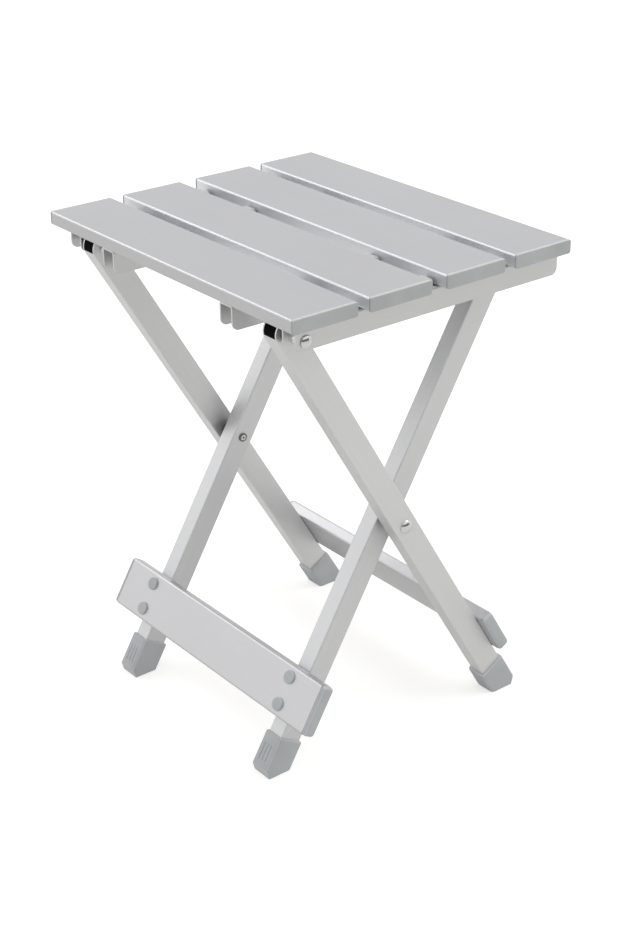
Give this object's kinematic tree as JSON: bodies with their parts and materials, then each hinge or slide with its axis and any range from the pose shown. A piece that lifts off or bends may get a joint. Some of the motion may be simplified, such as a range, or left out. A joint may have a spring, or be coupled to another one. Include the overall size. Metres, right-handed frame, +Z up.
{
  "type": "folding camping stool",
  "caption": "Folding aluminium camping stool: flat hollow slats on two sliding seat halves over crossed tube legs with plank stretchers and moulded feet.",
  "frame": {"origin": "on the floor, under the middle of the seat", "axes": "+Z up; +X along the slats, to the right; -Y is the front, where the outer legs' tops hinge"},
  "size_m": [0.311, 0.2646, 0.404],
  "materials": {
    "aluminium": "satin silver anodised",
    "grey_plastic": "moulded grey plastic",
    "black_plastic": "moulded black plastic",
    "steel": "zinc plated steel",
    "dark_steel": "blackened spring steel",
    "nylon": "natural nylon"
  },
  "bodies": {
    "outer_legs": {"outer_leg_left": "aluminium", "outer_leg_right": "aluminium", "outer_leg_plug_left": "black_plastic", "outer_leg_plug_right": "black_plastic", "rear_foot_left": "grey_plastic", "rear_foot_right": "grey_plastic", "rear_stretcher": "aluminium", "rear_stretcher_cap_left": "grey_plastic", "rear_stretcher_cap_right": "grey_plastic", "rear_stretcher_rivets": "steel", "front_hinge_rivet_left": "steel", "front_hinge_rivet_right": "steel", "front_hinge_spacers": "nylon", "cross_rivet_left": "steel", "cross_rivet_right": "steel", "cross_spacers": "nylon", "cross_retaining_rings": "dark_steel"},
    "inner_legs": {"inner_leg_left": "aluminium", "inner_leg_right": "aluminium", "inner_leg_plug_left": "black_plastic", "inner_leg_plug_right": "black_plastic", "front_foot_left": "grey_plastic", "front_foot_right": "grey_plastic", "front_stretcher": "aluminium", "front_stretcher_cap_left": "grey_plastic", "front_stretcher_cap_right": "grey_plastic", "front_stretcher_rivets": "steel", "front_stretcher_rivet_caps": "grey_plastic", "rear_hinge_rivet_left": "steel", "rear_hinge_rivet_right": "steel", "rear_hinge_spacers": "nylon"},
    "rear_seat": {"rear_middle_slat": "aluminium", "rear_edge_slat": "aluminium", "rear_middle_slat_cap_left": "grey_plastic", "rear_middle_slat_cap_right": "grey_plastic", "rear_edge_slat_cap_left": "grey_plastic", "rear_edge_slat_cap_right": "grey_plastic", "outer_rail_left": "aluminium", "outer_rail_right": "aluminium", "outer_rail_stop_left": "grey_plastic", "outer_rail_stop_right": "grey_plastic", "rear_slat_rivets": "steel", "rear_slat_washers": "nylon", "outer_rail_bushes": "steel"},
    "front_seat": {"front_middle_slat": "aluminium", "front_edge_slat": "aluminium", "front_middle_slat_cap_left": "grey_plastic", "front_middle_slat_cap_right": "grey_plastic", "front_edge_slat_cap_left": "grey_plastic", "front_edge_slat_cap_right": "grey_plastic", "inner_rail_left": "aluminium", "inner_rail_right": "aluminium", "inner_rail_stop_left": "grey_plastic", "inner_rail_stop_right": "grey_plastic", "front_slat_rivets": "steel", "front_slat_washers": "nylon", "inner_rail_bushes": "steel"}
  },
  "joints": [
    {"name": "leg_fold", "type": "hinge", "parent": "outer_legs", "child": "inner_legs", "pos_m": [0, 0, 0.1925], "axis": [1, 0, 0], "range_deg": [0, 60]},
    {"name": "rear_seat_hinge", "type": "hinge", "parent": "outer_legs", "child": "rear_seat", "pos_m": [0, -0.1125, 0.3807], "axis": [1, 0, 0], "range_deg": [0, 30]},
    {"name": "front_seat_hinge", "type": "hinge", "parent": "inner_legs", "child": "front_seat", "pos_m": [0, 0.1125, 0.3807], "axis": [-1, 0, 0], "range_deg": [0, 30]}
  ],
  "couplings": [
    {"joint": "rear_seat_hinge", "follows": "leg_fold", "ratio": 0.5},
    {"joint": "front_seat_hinge", "follows": "leg_fold", "ratio": 0.5}
  ]
}
